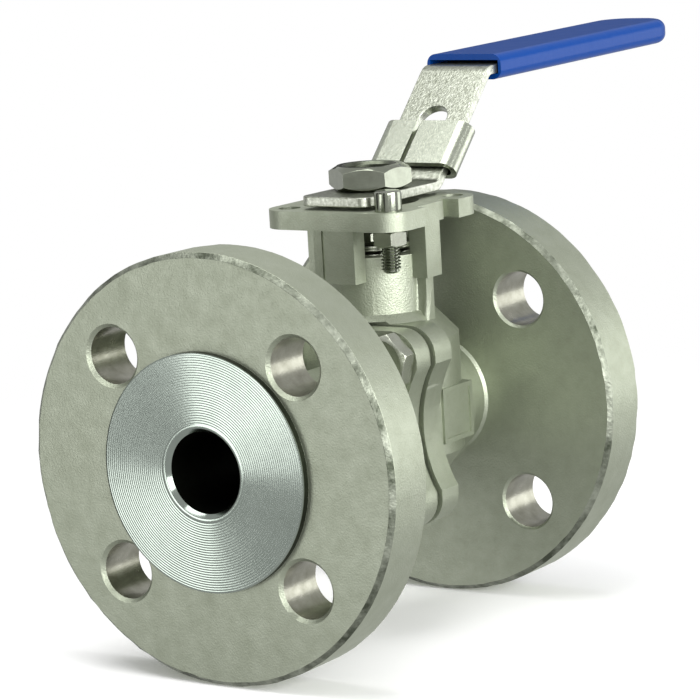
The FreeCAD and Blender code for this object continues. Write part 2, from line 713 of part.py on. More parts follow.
keep(cylinder("static_spring_coil", "Y", spring_start, spring_end,
              (static_ball_size - fit_gap) / 2, (0, static_level)), "antistatic_spring")
static_ball = doc.addObject("Part::Sphere", "static_ball")
bind(static_ball, "Radius", static_ball_size / 2)
place(static_ball, 0, static_place, static_level)
keep(static_ball, "antistatic_ball")


# Seals round the stem

keep(turned("thrust", "Z", [
    (collar_top + 0.05, stem_bore), (collar_top + 0.05, collar_radius),
    (washer_top, collar_radius), (washer_top, stem_bore),
]), "thrust_washer")

sealing_ring = doc.addObject("Part::Torus", "sealing_ring")
bind(sealing_ring, "Radius1", ring_groove + ring_section / 2 + 0.02)
bind(sealing_ring, "Radius2", ring_section / 2)
place(sealing_ring, 0, 0, groove_low + ring_section / 2 + 0.1)
keep(sealing_ring, "stem_ring")

packing_outer = packing_radius - stem_gap
packing_middle = (packing_outer + stem_bore) / 2
level = packing_floor
for number in (1, 2, 3):
    # The lowest ring has a flat foot; the others nest on the V below.
    foot = zero if number == 1 else packing_vee
    corners = [(level, stem_bore)]
    if number > 1:
        corners.append((level + foot, packing_middle))
    corners += [
        (level, packing_outer), (level + packing_height, packing_outer),
        (level + packing_height + packing_vee, packing_middle),
        (level + packing_height, stem_bore),
    ]
    keep(turned(f"packing_{number}", "Z", corners), f"packing_ring_{number}")
    level = level + packing_height

keep(turned("gland_ring", "Z", [
    (level, stem_bore), (level + packing_vee, packing_middle), (level, packing_outer),
    (gland_top, packing_outer), (gland_top, stem_bore),
]), "gland")


# Conical spring washers, tab washer and gland nut, which turn with the stem.

washer_bore = stem_bore
spring_foot = gland_top + 0.05
for number in (1, 2):
    # Two washers stacked edge to edge, the lower one rising inwards
    rise = spring_height * 0.45
    inner_rise = rise if number == 1 else zero
    outer_rise = zero if number == 1 else rise
    sheet_height = spring_height - rise
    keep(turned(f"conical_{number}", "Z", [
        (spring_foot + inner_rise, washer_bore), (spring_foot + outer_rise, packing_outer),
        (spring_foot + outer_rise + sheet_height, packing_outer),
        (spring_foot + inner_rise + sheet_height, washer_bore),
    ]), f"spring_washer_{number}")
    spring_foot = spring_foot + spring_height

tab_top = spring_foot + tab_thickness
tab_reach = gland_nut_flats / 2 + 0.1
tab_plate = cut("tab_plate", fuse("tab_blank", [
    cylinder("tab_disc", "Z", spring_foot, tab_top, packing_outer),
    box("tab_foot", (-tab_reach - tab_thickness, 0), (-2.5, 2.5), (spring_foot, tab_top)),
    box("tab_up", (-tab_reach - tab_thickness, -tab_reach), (-2.5, 2.5),
        (spring_foot, tab_top + 3)),
]), [cylinder("tab_hole", "Z", spring_foot - 1, tab_top + 1, washer_bore)])
keep(tab_plate, "tab_washer")

gland_nut_top = tab_top + gland_nut_height
gland_blank = hex_piece("gland_hex", "Z", tab_top, gland_nut_top, gland_nut_flats, turn=30)
keep(cut("gland_nut_cut", gland_blank, [
    cylinder("gland_thread", "Z", tab_top - 1, gland_nut_top + 1, washer_bore),
]), "gland_nut")


# Lever: flat strip with a plate on the stem, a 45 degree incline and the grip's tang.

strip_bend = lever_thickness * math.tan(math.radians(22.5))
incline_top = lever_top + incline_rise
tang_run = lever_length - rise_end
lever_body = pad_profile("lever_strip", "XZ_Plane", [
    (-lever_front, lever_bottom), (lower_bend + strip_bend, lever_bottom),
    (rise_end + strip_bend, incline_top - lever_thickness),
    (lever_length, incline_top - lever_thickness + tang_run * grip_slope),
    (lever_length, incline_top + tang_run * grip_slope),
    (rise_end, incline_top), (lower_bend, lever_top), (-lever_front, lever_top),
], lever_width)


def near(point, x, z):
    return abs(point.x - x) < 0.01 and abs(point.z - z) < 0.01


def inner_bends(direction, middle):
    low = near(middle, lower_bend.value, lever_top.value)
    bend_x = rise_end.value + strip_bend.value
    bend_z = incline_top.value - lever_thickness.value
    return low or near(middle, bend_x, bend_z)


def outer_bends(direction, middle):
    low = near(middle, lower_bend.value + strip_bend.value, lever_bottom.value)
    return low or near(middle, rise_end.value, incline_top.value)


def front_corners(direction, middle):
    return abs(direction.z) > 0.9 and abs(middle.x + lever_front.value) < 0.01


def end_corners(direction, middle):
    return abs(direction.z) > 0.9 and abs(middle.x - lever_length.value) < 0.01


round_edges(lever_body, "inner_bends", inner_bends, bend_radius)
round_edges(lever_body, "outer_bends", outer_bends, bend_radius + lever_thickness)
round_edges(lever_body, "front_corners", front_corners, lever_width * 0.14)
round_edges(lever_body, "end_corners", end_corners, lever_width * 0.4)

drive_reach = drive_half + drive_gap
stem_slot = common("lever_slot",
                   cylinder("lever_round", "Z", lever_bottom - 1, lever_top + 1,
                            stem_radius + drive_gap),
                   box("lever_flats", (-20, 20), (-drive_reach, drive_reach),
                       (lever_bottom - 1, lever_top + 1)))
# The padlock hole runs square to the incline.
padlock = doc.addObject("Part::Cylinder", "padlock_drill")
bind(padlock, "Radius", padlock_hole / 2)
bind(padlock, "Height", lever_thickness * 6)
padlock.Placement.Rotation = FreeCAD.Rotation(FreeCAD.Vector(0, 1, 0), -45)
drill_back = lever_thickness * 3 * HALF_DIAGONAL
place(padlock, lower_bend + padlock_rise + drill_back, 0, lever_top + padlock_rise - drill_back)
keep(cut("lever_cut", lever_body, [stem_slot, padlock]), "lever")

lever_blank = hex_piece("lever_hex", "Z", lever_top, lever_nut_top, lever_nut_flats, turn=-6.1)
keep(cut("lever_nut_cut", lever_blank, [
    cylinder("lever_thread", "Z", lever_top - 1, lever_nut_top + 1, stem_bore),
    cone("lever_nut_mouth", "Z", lever_nut_top - 0.8, lever_nut_top + 0.2,
         stem_bore, stem_bore + 1),
]), "lever_nut")


# Grip: a dipped sleeve with a rounded end, loose round the strip.

grip_length = grip_end - grip_mouth
grip_rise = (grip_mouth - rise_end) * grip_slope
strip_low = incline_top - lever_thickness + grip_rise
grip_bottom = strip_low - grip_wall
grip_angle = math.degrees(math.atan(grip_slope.value))


def tilt(feature):
    """Tip a feature to the grip's slope."""
    feature.Placement.Rotation = FreeCAD.Rotation(FreeCAD.Vector(0, 1, 0), -grip_angle)
    bind(feature, "Placement.Rotation.Angle", Size(grip_angle, "atan(Sizes.grip_slope)"))
    feature.setExpression("Placement.Rotation.Axis.y", "-1")


grip_block = box("grip_block", (grip_mouth, grip_end), (-grip_width / 2, grip_width / 2),
                 (grip_bottom, grip_bottom + grip_height))
tilt(grip_block)
doc.recompute()


def rounded(name, base, test, radius):
    """Part fillet of the chosen edges, with its radius limited by nothing but its value."""
    feature = doc.addObject("Part::Fillet", name)
    feature.Base = base
    names = edge_names(base.Shape, test)
    feature.Edges = [(int(edge[4:]), radius, radius) for edge in names]
    doc.recompute()
    return feature


def grip_tip_edges(direction, middle):
    return abs(direction.z) > 0.9 and middle.x > grip_end.value - 2


def grip_long_edges(direction, middle):
    return abs(direction.x) > 0.9


grip_tip = rounded("grip_tip", grip_block, grip_tip_edges, grip_width.value * 0.42)
grip_soft = rounded("grip_soft", grip_tip, grip_long_edges, grip_height.value * 0.4)
cavity_block = box("grip_cavity", (grip_mouth - 1, lever_length + grip_play),
                   (-lever_width / 2 - grip_play, lever_width / 2 + grip_play),
                   (strip_low - 0.1, strip_low + lever_thickness + grip_head_room))
tilt(cavity_block)
doc.recompute()


def cavity_end_edges(direction, middle):
    return abs(direction.z) > 0.9 and middle.x > lever_length.value - 2


cavity = rounded("grip_cavity_end", cavity_block, cavity_end_edges, lever_width.value * 0.4)
keep(cut("grip_cut", grip_soft, [cavity]), "grip")


# Lock plate: a sheet wrapped round the incline, with a tongue that drops beside the pad.
# Its sleeve is built in the incline's own directions: along it, sideways and square to it.

def on_incline(name, start, end, half_side, low, high, radius=None):
    """A block on the incline; low and high are measured square to the strip's front face."""
    feature = doc.addObject("Part::Box", name)
    bind(feature, "Length", as_size(end) - start)
    bind(feature, "Width", as_size(half_side[1]) - half_side[0])
    bind(feature, "Height", as_size(high) - low)
    feature.Placement.Rotation = FreeCAD.Rotation(FreeCAD.Vector(0, 1, 0), -45)
    place(feature, lower_bend + (as_size(start) - low) * HALF_DIAGONAL, half_side[0],
          lever_top + (as_size(start) + low) * HALF_DIAGONAL)
    return feature


lock_end = lock_start + lock_length
inner_front = lock_gap
outer_front = lock_gap + lock_sheet
inner_back = -(lever_thickness + lock_gap)
outer_back = -(lever_thickness + lock_gap + lock_sheet)
inner_half = lever_width / 2 + lock_side_gap
outer_half = inner_half + lock_sheet


def sleeve_edges(direction, middle):
    return abs(direction.x - direction.z) < 0.01 and abs(direction.y) < 0.1


sleeve_block = on_incline("sleeve_block", lock_start, lock_end, (-outer_half, outer_half),
                          outer_back, outer_front)
cavity_block = on_incline("sleeve_hollow", lock_start - 12, lock_end + 1,
                          (-inner_half, inner_half), inner_back, inner_front)
doc.recompute()
outer_round = (outer_front.value - outer_back.value) * 0.49
inner_round = max(outer_round - lock_sheet.value, 0.2)
sleeve = rounded("sleeve_round", sleeve_block, sleeve_edges, outer_round)
hollow = rounded("hollow_round", cavity_block, sleeve_edges, inner_round)
seam = on_incline("seam", lock_start - 1, lock_end + 1,
                  (lock_seam_side - lock_seam / 2, lock_seam_side + lock_seam / 2),
                  inner_front - 0.3, outer_front + 1)

# The tongue hangs upright from the back sheet.
back_line = lever_top - lower_bend + inner_back / HALF_DIAGONAL
back_foot = lower_bend + (lock_start - inner_back) * HALF_DIAGONAL
tongue_face = back_foot - 0.35
tongue_foot = pad_top + lock_rest
tongue_join = tongue_face + lock_sheet + back_line
tongue = box("tongue", (tongue_face, tongue_face + lock_sheet), (-tongue_half, tongue_half),
             (tongue_foot, tongue_join))
keep(cut("lock_cut", fuse("lock_blank", [sleeve, tongue]), [hollow, seam]), "lock_plate")


# Joint bolts from the end cap's side, threaded into the body's lobes.

for number, (side_y, side_z) in enumerate(CORNERS, 1):
    centre = (lobe_bolt_side * side_y, lobe_bolt_up * side_z)
    facing = math.degrees(math.atan2(side_z * lobe_bolt_up.value, side_y * lobe_bolt_side.value))
    head_start = cap_lobe_front - joint_head_height
    head = hex_piece(f"joint_head_{number}", "X", head_start, cap_lobe_front,
                     joint_head_flats, centre, turn=facing)
    shank = cylinder(f"joint_shank_{number}", "X", cap_lobe_front - 0.5, body_lobe_back - 0.5,
                     joint_bolt / 2, centre)
    keep(fuse(f"joint_bolt_{number}_whole", [head, shank]), f"joint_bolt_{number}")


# Stop pin through one corner of the pad, with its nut below.

stop_place = (-pad_hole_offset, -pad_hole_offset)
head_top = pad_top + stop_height
stop_end = pad_bottom - stop_reach
keep(fuse("stop_pin_whole", [
    cylinder("stop_head_body", "Z", pad_top, head_top - 0.8, stop_head / 2, stop_place),
    cone("stop_head_edge", "Z", head_top - 0.8, head_top, stop_head / 2,
         stop_head / 2 - 0.8, stop_place),
    cylinder("stop_shank", "Z", stop_end + 0.5, pad_top + 0.5, stop_thread / 2, stop_place),
    cone("stop_point", "Z", stop_end, stop_end + 0.5, stop_thread / 2 - 0.5,
         stop_thread / 2, stop_place),
]), "stop_pin")

nut_foot = pad_bottom - stop_nut_height
stop_blank = hex_piece("stop_hex", "Z", nut_foot, pad_bottom, stop_nut_flats, stop_place, turn=36.5)
keep(cut("stop_nut_cut", stop_blank, [
    cylinder("stop_thread_hole", "Z", nut_foot - 1, pad_bottom + 1,
             stop_thread / 2 + stem_gap, stop_place),
]), "stop_pin_nut")


# Check every feature, then write each piece to its own file.

doc.recompute()
for feature in doc.Objects:
    if "Invalid" in feature.State or "Error" in feature.State:
        raise RuntimeError(f"{feature.Name} failed: {feature.State}")
for feature in nodes:
    shape = feature.Shape
    if shape.isNull() or not shape.isValid() or not shape.Solids:
        raise RuntimeError(f"{feature.Label} has no valid shape")

os.makedirs("parts", exist_ok=True)
for feature in nodes:
    feature.Shape.exportStep(f"parts/{feature.Label}.step")
    solids = feature.Shape.Solids
    print(feature.Label, len(solids), round(feature.Shape.Volume, 1))
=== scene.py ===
import json
import math

import bmesh
import bpy
from mathutils import Matrix, Vector, noise

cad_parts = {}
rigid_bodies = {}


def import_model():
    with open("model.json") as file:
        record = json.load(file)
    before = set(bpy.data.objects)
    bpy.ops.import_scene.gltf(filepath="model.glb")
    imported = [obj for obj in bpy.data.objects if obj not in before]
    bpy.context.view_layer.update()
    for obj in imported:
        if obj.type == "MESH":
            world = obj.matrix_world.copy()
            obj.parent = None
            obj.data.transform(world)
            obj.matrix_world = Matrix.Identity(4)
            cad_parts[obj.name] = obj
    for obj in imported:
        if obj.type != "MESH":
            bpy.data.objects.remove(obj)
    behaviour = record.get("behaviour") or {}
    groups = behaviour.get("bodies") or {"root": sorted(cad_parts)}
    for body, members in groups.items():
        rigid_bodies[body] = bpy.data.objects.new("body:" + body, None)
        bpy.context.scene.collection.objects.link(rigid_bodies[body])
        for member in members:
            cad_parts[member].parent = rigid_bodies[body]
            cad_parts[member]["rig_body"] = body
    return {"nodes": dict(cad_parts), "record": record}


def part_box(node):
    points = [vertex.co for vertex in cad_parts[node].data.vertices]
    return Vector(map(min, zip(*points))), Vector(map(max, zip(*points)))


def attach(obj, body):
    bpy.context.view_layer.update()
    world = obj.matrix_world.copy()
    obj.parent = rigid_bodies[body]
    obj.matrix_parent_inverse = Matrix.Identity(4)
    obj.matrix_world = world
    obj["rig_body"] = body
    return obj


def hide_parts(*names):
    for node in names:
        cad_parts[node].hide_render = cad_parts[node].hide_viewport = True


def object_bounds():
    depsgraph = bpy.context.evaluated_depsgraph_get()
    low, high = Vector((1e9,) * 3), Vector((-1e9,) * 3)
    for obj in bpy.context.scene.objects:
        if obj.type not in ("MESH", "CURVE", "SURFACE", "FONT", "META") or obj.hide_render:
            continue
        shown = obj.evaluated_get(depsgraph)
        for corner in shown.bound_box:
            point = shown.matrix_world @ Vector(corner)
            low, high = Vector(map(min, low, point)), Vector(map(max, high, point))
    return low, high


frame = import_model()
cad_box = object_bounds()
scene = bpy.context.scene
scene.view_settings.view_transform = "Standard"
# The frame is in metres, and MM turns a size written in millimetres into them.
MM = 0.001


# Camera: a long lens that looks down a little on the valve, from ahead of the inlet flange and
# to its right. Lens and sensor are in millimetres, and the clipping range in metres.
STAND = Vector((-666.7, -448.2, 154.0)) * MM
LENS, SENSOR, NEAR, FAR = 164.56, 36, 0.05, 50
AZIMUTH, DROP, ROLL = (math.radians(a) for a in (34.445, 9.698, -3.184))
ahead = Vector((math.cos(AZIMUTH) * math.cos(DROP), math.sin(AZIMUTH) * math.cos(DROP),
                -math.sin(DROP)))
right = ahead.cross(Vector((0, 0, 1))).normalized()
above = right.cross(ahead)
side_axis = right * math.cos(ROLL) + above * math.sin(ROLL)
up_axis = above * math.cos(ROLL) - right * math.sin(ROLL)
camera = bpy.data.objects.new("camera", bpy.data.cameras.new("camera"))
scene.collection.objects.link(camera)
camera.data.lens, camera.data.sensor_width = LENS, SENSOR
camera.data.clip_start, camera.data.clip_end = NEAR, FAR
turn = Matrix((side_axis, up_axis, -ahead)).transposed().to_4x4()
camera.matrix_world = Matrix.Translation(STAND) @ turn
scene.camera = camera


# Studio: a pale floor under the flanges that fades into a white surround. Five soft panels
# light the valve, and five dark cards, which only reflections see, give the metal its darker
# parts.
def linear(code):
    """An sRGB hex colour as linear RGBA, by the sRGB curve."""
    parts = [int(code[i:i + 2], 16) / 255 for i in (0, 2, 4)]
    return [c / 12.92 if c <= 0.04045 else ((c + 0.055) / 1.055) ** 2.4 for c in parts] + [1]


def add(tree, kind, settings=None, links=None):
    """A node with its settings; links maps its sockets to other nodes' outputs."""
    made = tree.nodes.new(kind)
    for key, value in (settings or {}).items():
        if isinstance(key, int) or key in made.inputs:
            made.inputs[key].default_value = value
        else:
            setattr(made, key, value)
    for key, value in (links or {}).items():
        tree.links.new(value, made.inputs[key])
    return made


world = bpy.data.worlds.new("studio")
scene.world = world
world.use_nodes = True
tree = world.node_tree
tree.nodes.clear()
path = add(tree, "ShaderNodeLightPath")
# The surround's strength as soft light and in reflections; the camera sees it plain white.
FILL, REFLECTED = 0.5, 0.68
level = add(tree, "ShaderNodeMath", {"operation": "MULTIPLY_ADD", 1: REFLECTED - FILL, 2: FILL},
            {0: path.outputs["Is Glossy Ray"]})
level = add(tree, "ShaderNodeMath", {"operation": "MAXIMUM"},
            {0: level.outputs[0], 1: path.outputs["Is Camera Ray"]})
white = add(tree, "ShaderNodeBackground", {"Color": (1, 1, 1, 1)},
            {"Strength": level.outputs[0]})
add(tree, "ShaderNodeOutputWorld", None, {"Surface": white.outputs[0]})


def aimed(name, data, place, target=(0, 0, 0)):
    """An object that looks from its place at a target, both in millimetres."""
    made = bpy.data.objects.new(name, data)
    scene.collection.objects.link(made)
    made.location = Vector(place) * MM
    made.rotation_euler = (Vector(target) - Vector(place)).to_track_quat("-Z", "Y").to_euler()
    return made


# Each panel: place in millimetres, size in metres, power in watts.
for name, place, size, power in (
        ("panel_left", (-900, 450, -20), (0.34, 0.34), 1.2),
        ("panel_right", (-250, -1200, 330), (0.8, 0.8), 18),
        ("panel_camera", (-900, -900, 260), (0.5, 0.5), 4),
        ("panel_outlet", (1000, -800, 60), (0.8, 0.6), 3.2),
        ("panel_top", (-200, 100, 1100), (0.9, 0.9), 10)):
    lamp = bpy.data.lights.new(name, "AREA")
    lamp.shape, lamp.size, lamp.size_y, lamp.energy = "RECTANGLE", size[0], size[1], power
    aimed(name, lamp, place)

# Each card is a dark matt sheet; place and size in millimetres.
dark = bpy.data.materials.new("dark_card")
dark.use_nodes = True
dark.node_tree.nodes["Principled BSDF"].inputs["Base Color"].default_value = linear("2E312A")
for name, place, size in (
        ("card_front", (-1500, -100, 100), (350, 1400)),
        ("card_low_right", (100, -1500, -400), (700, 500)),
        ("card_left", (-700, 1500, 100), (600, 1600)),
        ("card_behind", (1500, 900, 380), (1500, 420)),
        ("card_left_end", (-1040, 650, 380), (700, 180))):
    mesh = bpy.data.meshes.new(name)
    shape = bmesh.new()
    bmesh.ops.create_grid(shape, x_segments=1, y_segments=1, size=MM / 2)
    bmesh.ops.scale(shape, vec=(size[0], size[1], 1), verts=shape.verts)
    shape.to_mesh(mesh)
    shape.free()
    card = aimed(name, mesh, place)
    card.data.materials.append(dark)
    card.visible_camera = card.visible_diffuse = card.visible_shadow = False

# The floor is matt white paint that fades out, and reflections do not show it. Its radius and
# the reach of the fade are in metres.
FLOOR_RADIUS, FADE_START, FADE_END = 0.4, 0.1, 0.38
floor_material = bpy.data.materials.new("pale_floor")
floor_material.use_nodes = True
tree = floor_material.node_tree
tree.nodes.clear()
where = add(tree, "ShaderNodeTexCoord")
reach = add(tree, "ShaderNodeVectorMath", {"operation": "LENGTH"},
            {0: where.outputs["Object"]})
fade = add(tree, "ShaderNodeMapRange", {"From Min": FADE_START, "From Max": FADE_END},
           {"Value": reach.outputs["Value"]})
fade.interpolation_type = "SMOOTHSTEP"
paint = add(tree, "ShaderNodeBsdfDiffuse", {"Color": linear("FCFCFC")})
clear = add(tree, "ShaderNodeBsdfTransparent")
both = add(tree, "ShaderNodeMixShader", None,
           {0: fade.outputs[0], 1: paint.outputs[0], 2: clear.outputs[0]})
add(tree, "ShaderNodeOutputMaterial", None, {"Surface": both.outputs[0]})
mesh = bpy.data.meshes.new("floor")
shape = bmesh.new()
bmesh.ops.create_circle(shape, cap_ends=True, segments=96, radius=FLOOR_RADIUS)
shape.to_mesh(mesh)
shape.free()
mesh.materials.append(floor_material)
floor = bpy.data.objects.new("floor", mesh)
scene.collection.objects.link(floor)
floor.location.z = cad_box[0].z
floor.visible_glossy = False


# Body and end cap: sand castings in stainless steel, blasted and pickled to a matt grey with
# a green cast, then drilled for the pipe bolts and bored through. They are bolted together
# at two lobed flanges, whose edges the foundry leaves well rounded.

# The depth of a grain, as a share of its width.
GRAIN_DEPTH = 0.2


def metal(name, colours, rough, spread, mottle_mm, grit_mm, grit, contrast=0.18):
    """Bare metal: colour and gloss drift over the mottle size, with a bumpy fine grit."""
    made = bpy.data.materials.new(name)
    made.use_nodes = True
    tree = made.node_tree
    skin = tree.nodes["Principled BSDF"]
    skin.inputs["Metallic"].default_value = 1.0
    where = add(tree, "ShaderNodeTexCoord").outputs["Object"]
    mottle = add(tree, "ShaderNodeTexNoise",
                 {"Scale": 1000 / mottle_mm, "Detail": 8.0, "Roughness": 0.65},
                 {"Vector": where})
    ramp = add(tree, "ShaderNodeValToRGB", None, {"Fac": mottle.outputs["Fac"]})
    low, high = ramp.color_ramp.elements
    low.position, high.position = 0.5 - contrast, 0.5 + contrast
    low.color, high.color = (linear(code) for code in colours)
    tree.links.new(ramp.outputs["Color"], skin.inputs["Base Color"])
    gloss = add(tree, "ShaderNodeMapRange",
                {"To Min": rough + spread, "To Max": rough - spread},
                {"Value": mottle.outputs["Fac"]})
    tree.links.new(gloss.outputs[0], skin.inputs["Roughness"])
    fine = add(tree, "ShaderNodeTexNoise",
               {"Scale": 1000 / grit_mm, "Detail": 2.0, "Roughness": 0.5}, {"Vector": where})
    bump = add(tree, "ShaderNodeBump", {"Strength": grit, "Distance": grit_mm * MM * GRAIN_DEPTH},
               {"Height": fine.outputs["Fac"]})
    tree.links.new(bump.outputs[0], skin.inputs["Normal"])
    return made


# Blasted casting: an even, slightly green grey. Its grain of about 0.2 mm is too fine to show,
# so it is drawn at 0.45 mm, where it breaks up each highlight.
cast = metal("blasted_cast_stainless", ("9EA492", "ACB2A1"),
             rough=0.5, spread=0.06, mottle_mm=5, grit_mm=0.45, grit=1.0, contrast=0.22)
# Drilled holes: smoother and warmer than the casting, with faint tool marks drawn at 0.6 mm.
drilled = metal("drilled_stainless", ("8E8E80", "A9A99C"),
                rough=0.3, spread=0.08, mottle_mm=4, grit_mm=0.6, grit=0.2)
# Bore and step round the raised face: smooth turned metal that is nearly always in deep shade.
# Both are coloured darker than bare metal, a painted shade, so that they look as deep as the real
# ones.
bored = metal("bore_painted_shade_stainless", ("30332B", "3C4036"),
              rough=0.35, spread=0.05, mottle_mm=4, grit_mm=0.6, grit=0.2)
step_wall = metal("step_painted_shade_stainless", ("2C3027", "3A3F34"),
                  rough=0.4, spread=0.05, mottle_mm=3, grit_mm=0.6, grit=0.2)
# The edge between a flange's face and its rim is knocked in handling: a thin darker line,
# broken by paler nicks a few millimetres long.
nicked = metal("nicked_cast_edge", ("4C5145", "9A9F91"),
               rough=0.5, spread=0.06, mottle_mm=6, grit_mm=0.9, grit=0.8, contrast=0.14)


def loose(name, shape, materials, body, sharp=40, stands_for=()):
    """Turn a bmesh into a piece: shaded smooth up to the sharp angle, riding on a body."""
    mesh = bpy.data.meshes.new(name)
    shape.to_mesh(mesh)
    shape.free()
    mesh.shade_smooth()
    mesh.set_sharp_from_angle(angle=math.radians(sharp))
    for each in materials:
        mesh.materials.append(each)
    piece = bpy.data.objects.new(name, mesh)
    scene.collection.objects.link(piece)
    normals = piece.modifiers.new("flat_faces_first", "WEIGHTED_NORMAL")
    normals.keep_sharp = True
    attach(piece, body)
    if stands_for:
        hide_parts(*stands_for)


# Points of a copied mesh closer than this are one, and faces flatter than this in degrees join.
SAME_POINT, SAME_PLANE = 0.002 * MM, 0.5


def eased(node, width, segments=2, angle=28, first=()):
    """A merged copy of a CAD node's mesh with every edge sharper than the angle rounded.

    Each entry of first is (test of a point, width, segments): the edges whose two ends pass
    the test are bevelled by it, and the rest by the common width.
    """
    shape = bmesh.new()
    shape.from_mesh(frame["nodes"][node].data)
    bmesh.ops.remove_doubles(shape, verts=shape.verts, dist=SAME_POINT)
    bmesh.ops.dissolve_limit(shape, angle_limit=math.radians(SAME_PLANE), verts=shape.verts,
                             edges=shape.edges)
    for face in shape.faces:
        face.material_index = 0
    sharp = [edge for edge in shape.edges
             if edge.is_manifold and edge.calc_face_angle(0) > math.radians(angle)]
    for chosen, wide, steps in [*first, (lambda point: True, width, segments)]:
        group = [edge for edge in sharp if all(chosen(vert.co) for vert in edge.verts)]
        sharp = [edge for edge in sharp if edge not in group]
        bmesh.ops.bevel(shape, geom=group, offset=wide * MM, affect="EDGES", segments=steps,
                        profile=0.5, material=-1, clamp_overlap=True)
        sharp = [edge for edge in sharp if edge.is_valid]
    return shape


# The flanges: radii, and depths from the face that just take in the flange, the step of the
# raised face and the chamfer of the bore's mouth.
RAISED, BORE, HOLE_CIRCLE, HOLE = 29 * MM, 10 * MM, 37.5 * MM, 7 * MM
HOLE_OFFSET = HOLE_CIRCLE * math.sqrt(0.5)
PAST_FLANGE, PAST_STEP, PAST_MOUTH = 18.5 * MM, 2.1 * MM, 1 * MM
# The lobed flanges: where the joint and the lobes lie, and how wide the bolts' seats are.
SPIGOT, CAP_LOBES, BODY_LOBES, BOLT_SEAT = 3 * MM, 19 * MM, 24 * MM, 5.5 * MM
LOBE_FROM, LOBE_TO, BELOW_NECK = 0.5 * MM, 12 * MM, 30 * MM
# Widths of the rounded and chamfered edges, in millimetres.
EASE, HOLE_CHAMFER, CAP_ROUND, BODY_ROUND = 0.45, 0.9, 1.8, 1.1
# How far the raised face sinks, where the rim starts, and how it wanders.
SUNK, RIM, RIM_EDGE = 0.3 * MM, 51 * MM, 50.8 * MM
WANDER, NICKS_PER_METRE = 0.006, 260
# Play allowed when a point or a face is matched to a size.
NEAR_ENOUGH, JUST_IN, JUST_OVER = 0.1 * MM, 0.97, 1.02
# How far a face's normal points along the pipe: at most, on a hole's wall and on the step's,
# and between which values, on the rounded edge of a rim.
WALL, STEEP, SLOPE_FROM, SLOPE_TO = 0.3, 0.5, 0.55, 0.99
# Slot 0 holds the casting's own finish, and these follow it; the bore's and the step's slots hold
# painted shade.
DRILLED, BORED, STEP, NICKED = range(1, 5)
inlet_face, outlet_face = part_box("end_cap")[0].x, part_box("body")[1].x
bolt_low, bolt_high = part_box("joint_bolt_1")
bolt = Vector((0, abs(bolt_low.y + bolt_high.y) / 2, abs(bolt_low.z + bolt_high.z) / 2))
joint_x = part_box("end_cap")[1].x - SPIGOT


def from_pipe(point):
    """Distance of a point from the pipe's axis."""
    return math.hypot(point.y, point.z)


def from_hole(point):
    """Distance of a point from the axis of the nearest flange bolt hole."""
    return math.hypot(abs(point.y) - HOLE_OFFSET, abs(point.z) - HOLE_OFFSET)


def on_hole_edge(point):
    """Whether a point lies on the wall of a flange bolt hole."""
    return abs(from_hole(point) - HOLE) < NEAR_ENOUGH


def on_cap_lobe(point):
    """Whether a point lies on the outline of the end cap's lobed flange, at the joint."""
    return (abs(point.x - joint_x) < NEAR_ENOUGH and from_pipe(point) > CAP_LOBES
            and math.hypot(abs(point.y) - bolt.y, abs(point.z) - bolt.z) > BOLT_SEAT)


def on_body_lobe(point):
    """Whether a point lies on one of the lobes of the body's lobed flange."""
    return (LOBE_FROM < point.x - joint_x < LOBE_TO and point.z < BELOW_NECK
            and from_pipe(point) > BODY_LOBES)


for node, face_x, inward, lobe, round_mm in (
        ("end_cap", inlet_face, 1, on_cap_lobe, CAP_ROUND),
        ("body", outlet_face, -1, on_body_lobe, BODY_ROUND)):
    shape = eased(node, EASE, first=((on_hole_edge, HOLE_CHAMFER, 1), (lobe, round_mm, 3)))
    # The rim wanders a little, and the raised face sinks to take the grooved ring.
    for vert in shape.verts:
        if from_pipe(vert.co) > RIM and abs(vert.co.x - face_x) < PAST_FLANGE:
            vert.co *= 1 - WANDER * abs(noise.noise(vert.co * NICKS_PER_METRE))
    for vert in shape.verts:
        if abs(vert.co.x - face_x) < SUNK:
            vert.co.x += inward * SUNK
    for face in shape.faces:
        radii = [from_pipe(vert.co) for vert in face.verts]
        depth = max(abs(vert.co.x - face_x) for vert in face.verts)
        facing = abs(face.normal.x)
        if (depth < PAST_FLANGE and facing < WALL
                and max(from_hole(vert.co) for vert in face.verts) < HOLE * JUST_OVER):
            face.material_index = DRILLED
        # The bore, past its mouth, is given painted shade.
        elif max(radii) < BORE * JUST_OVER and depth > PAST_MOUTH:
            face.material_index = BORED
        # The wall of the step round the raised face is given painted shade.
        elif (min(radii) > RAISED * JUST_IN and max(radii) < RAISED * JUST_OVER
                and depth < PAST_STEP and facing < STEEP):
            face.material_index = STEP
        elif min(radii) > RIM_EDGE and depth < PAST_FLANGE and SLOPE_FROM < facing < SLOPE_TO:
            face.material_index = NICKED
    loose(f"{node}_casting", shape, [cast, drilled, bored, step_wall, nicked], "valve_body",
          stands_for=[node])


# Serrated sealing faces: both raised faces are turned on a lathe with concentric grooves that
# grip the pipe gasket. Each is one closed ring, laid in its casting's sunk face, from the
# bore's mouth to the step.

# Turned metal: smooth cool grey, with its gloss stretched a little across the grooves.
turned = metal("turned_face_stainless", ("8E978F", "9AA39B"),
               rough=0.13, spread=0.02, mottle_mm=12, grit_mm=0.8, grit=0.01)
tree = turned.node_tree
where = add(tree, "ShaderNodeTexCoord").outputs["Object"]
outward = add(tree, "ShaderNodeVectorMath", {"operation": "MULTIPLY", 1: (0, 1, 1)},
              {0: where})
outward = add(tree, "ShaderNodeVectorMath", {"operation": "NORMALIZE"},
              {0: outward.outputs[0]})
skin = tree.nodes["Principled BSDF"]
tree.links.new(outward.outputs[0], skin.inputs["Tangent"])
skin.inputs["Anisotropic"].default_value = 0.2
# Points of a spun shape closer than this are one.
SEAM = 0.001 * MM
PITCH, DEPTH, FIRST, LAST = 0.6, 0.06, 11.8, 28.7
count = int((LAST - FIRST) / PITCH)
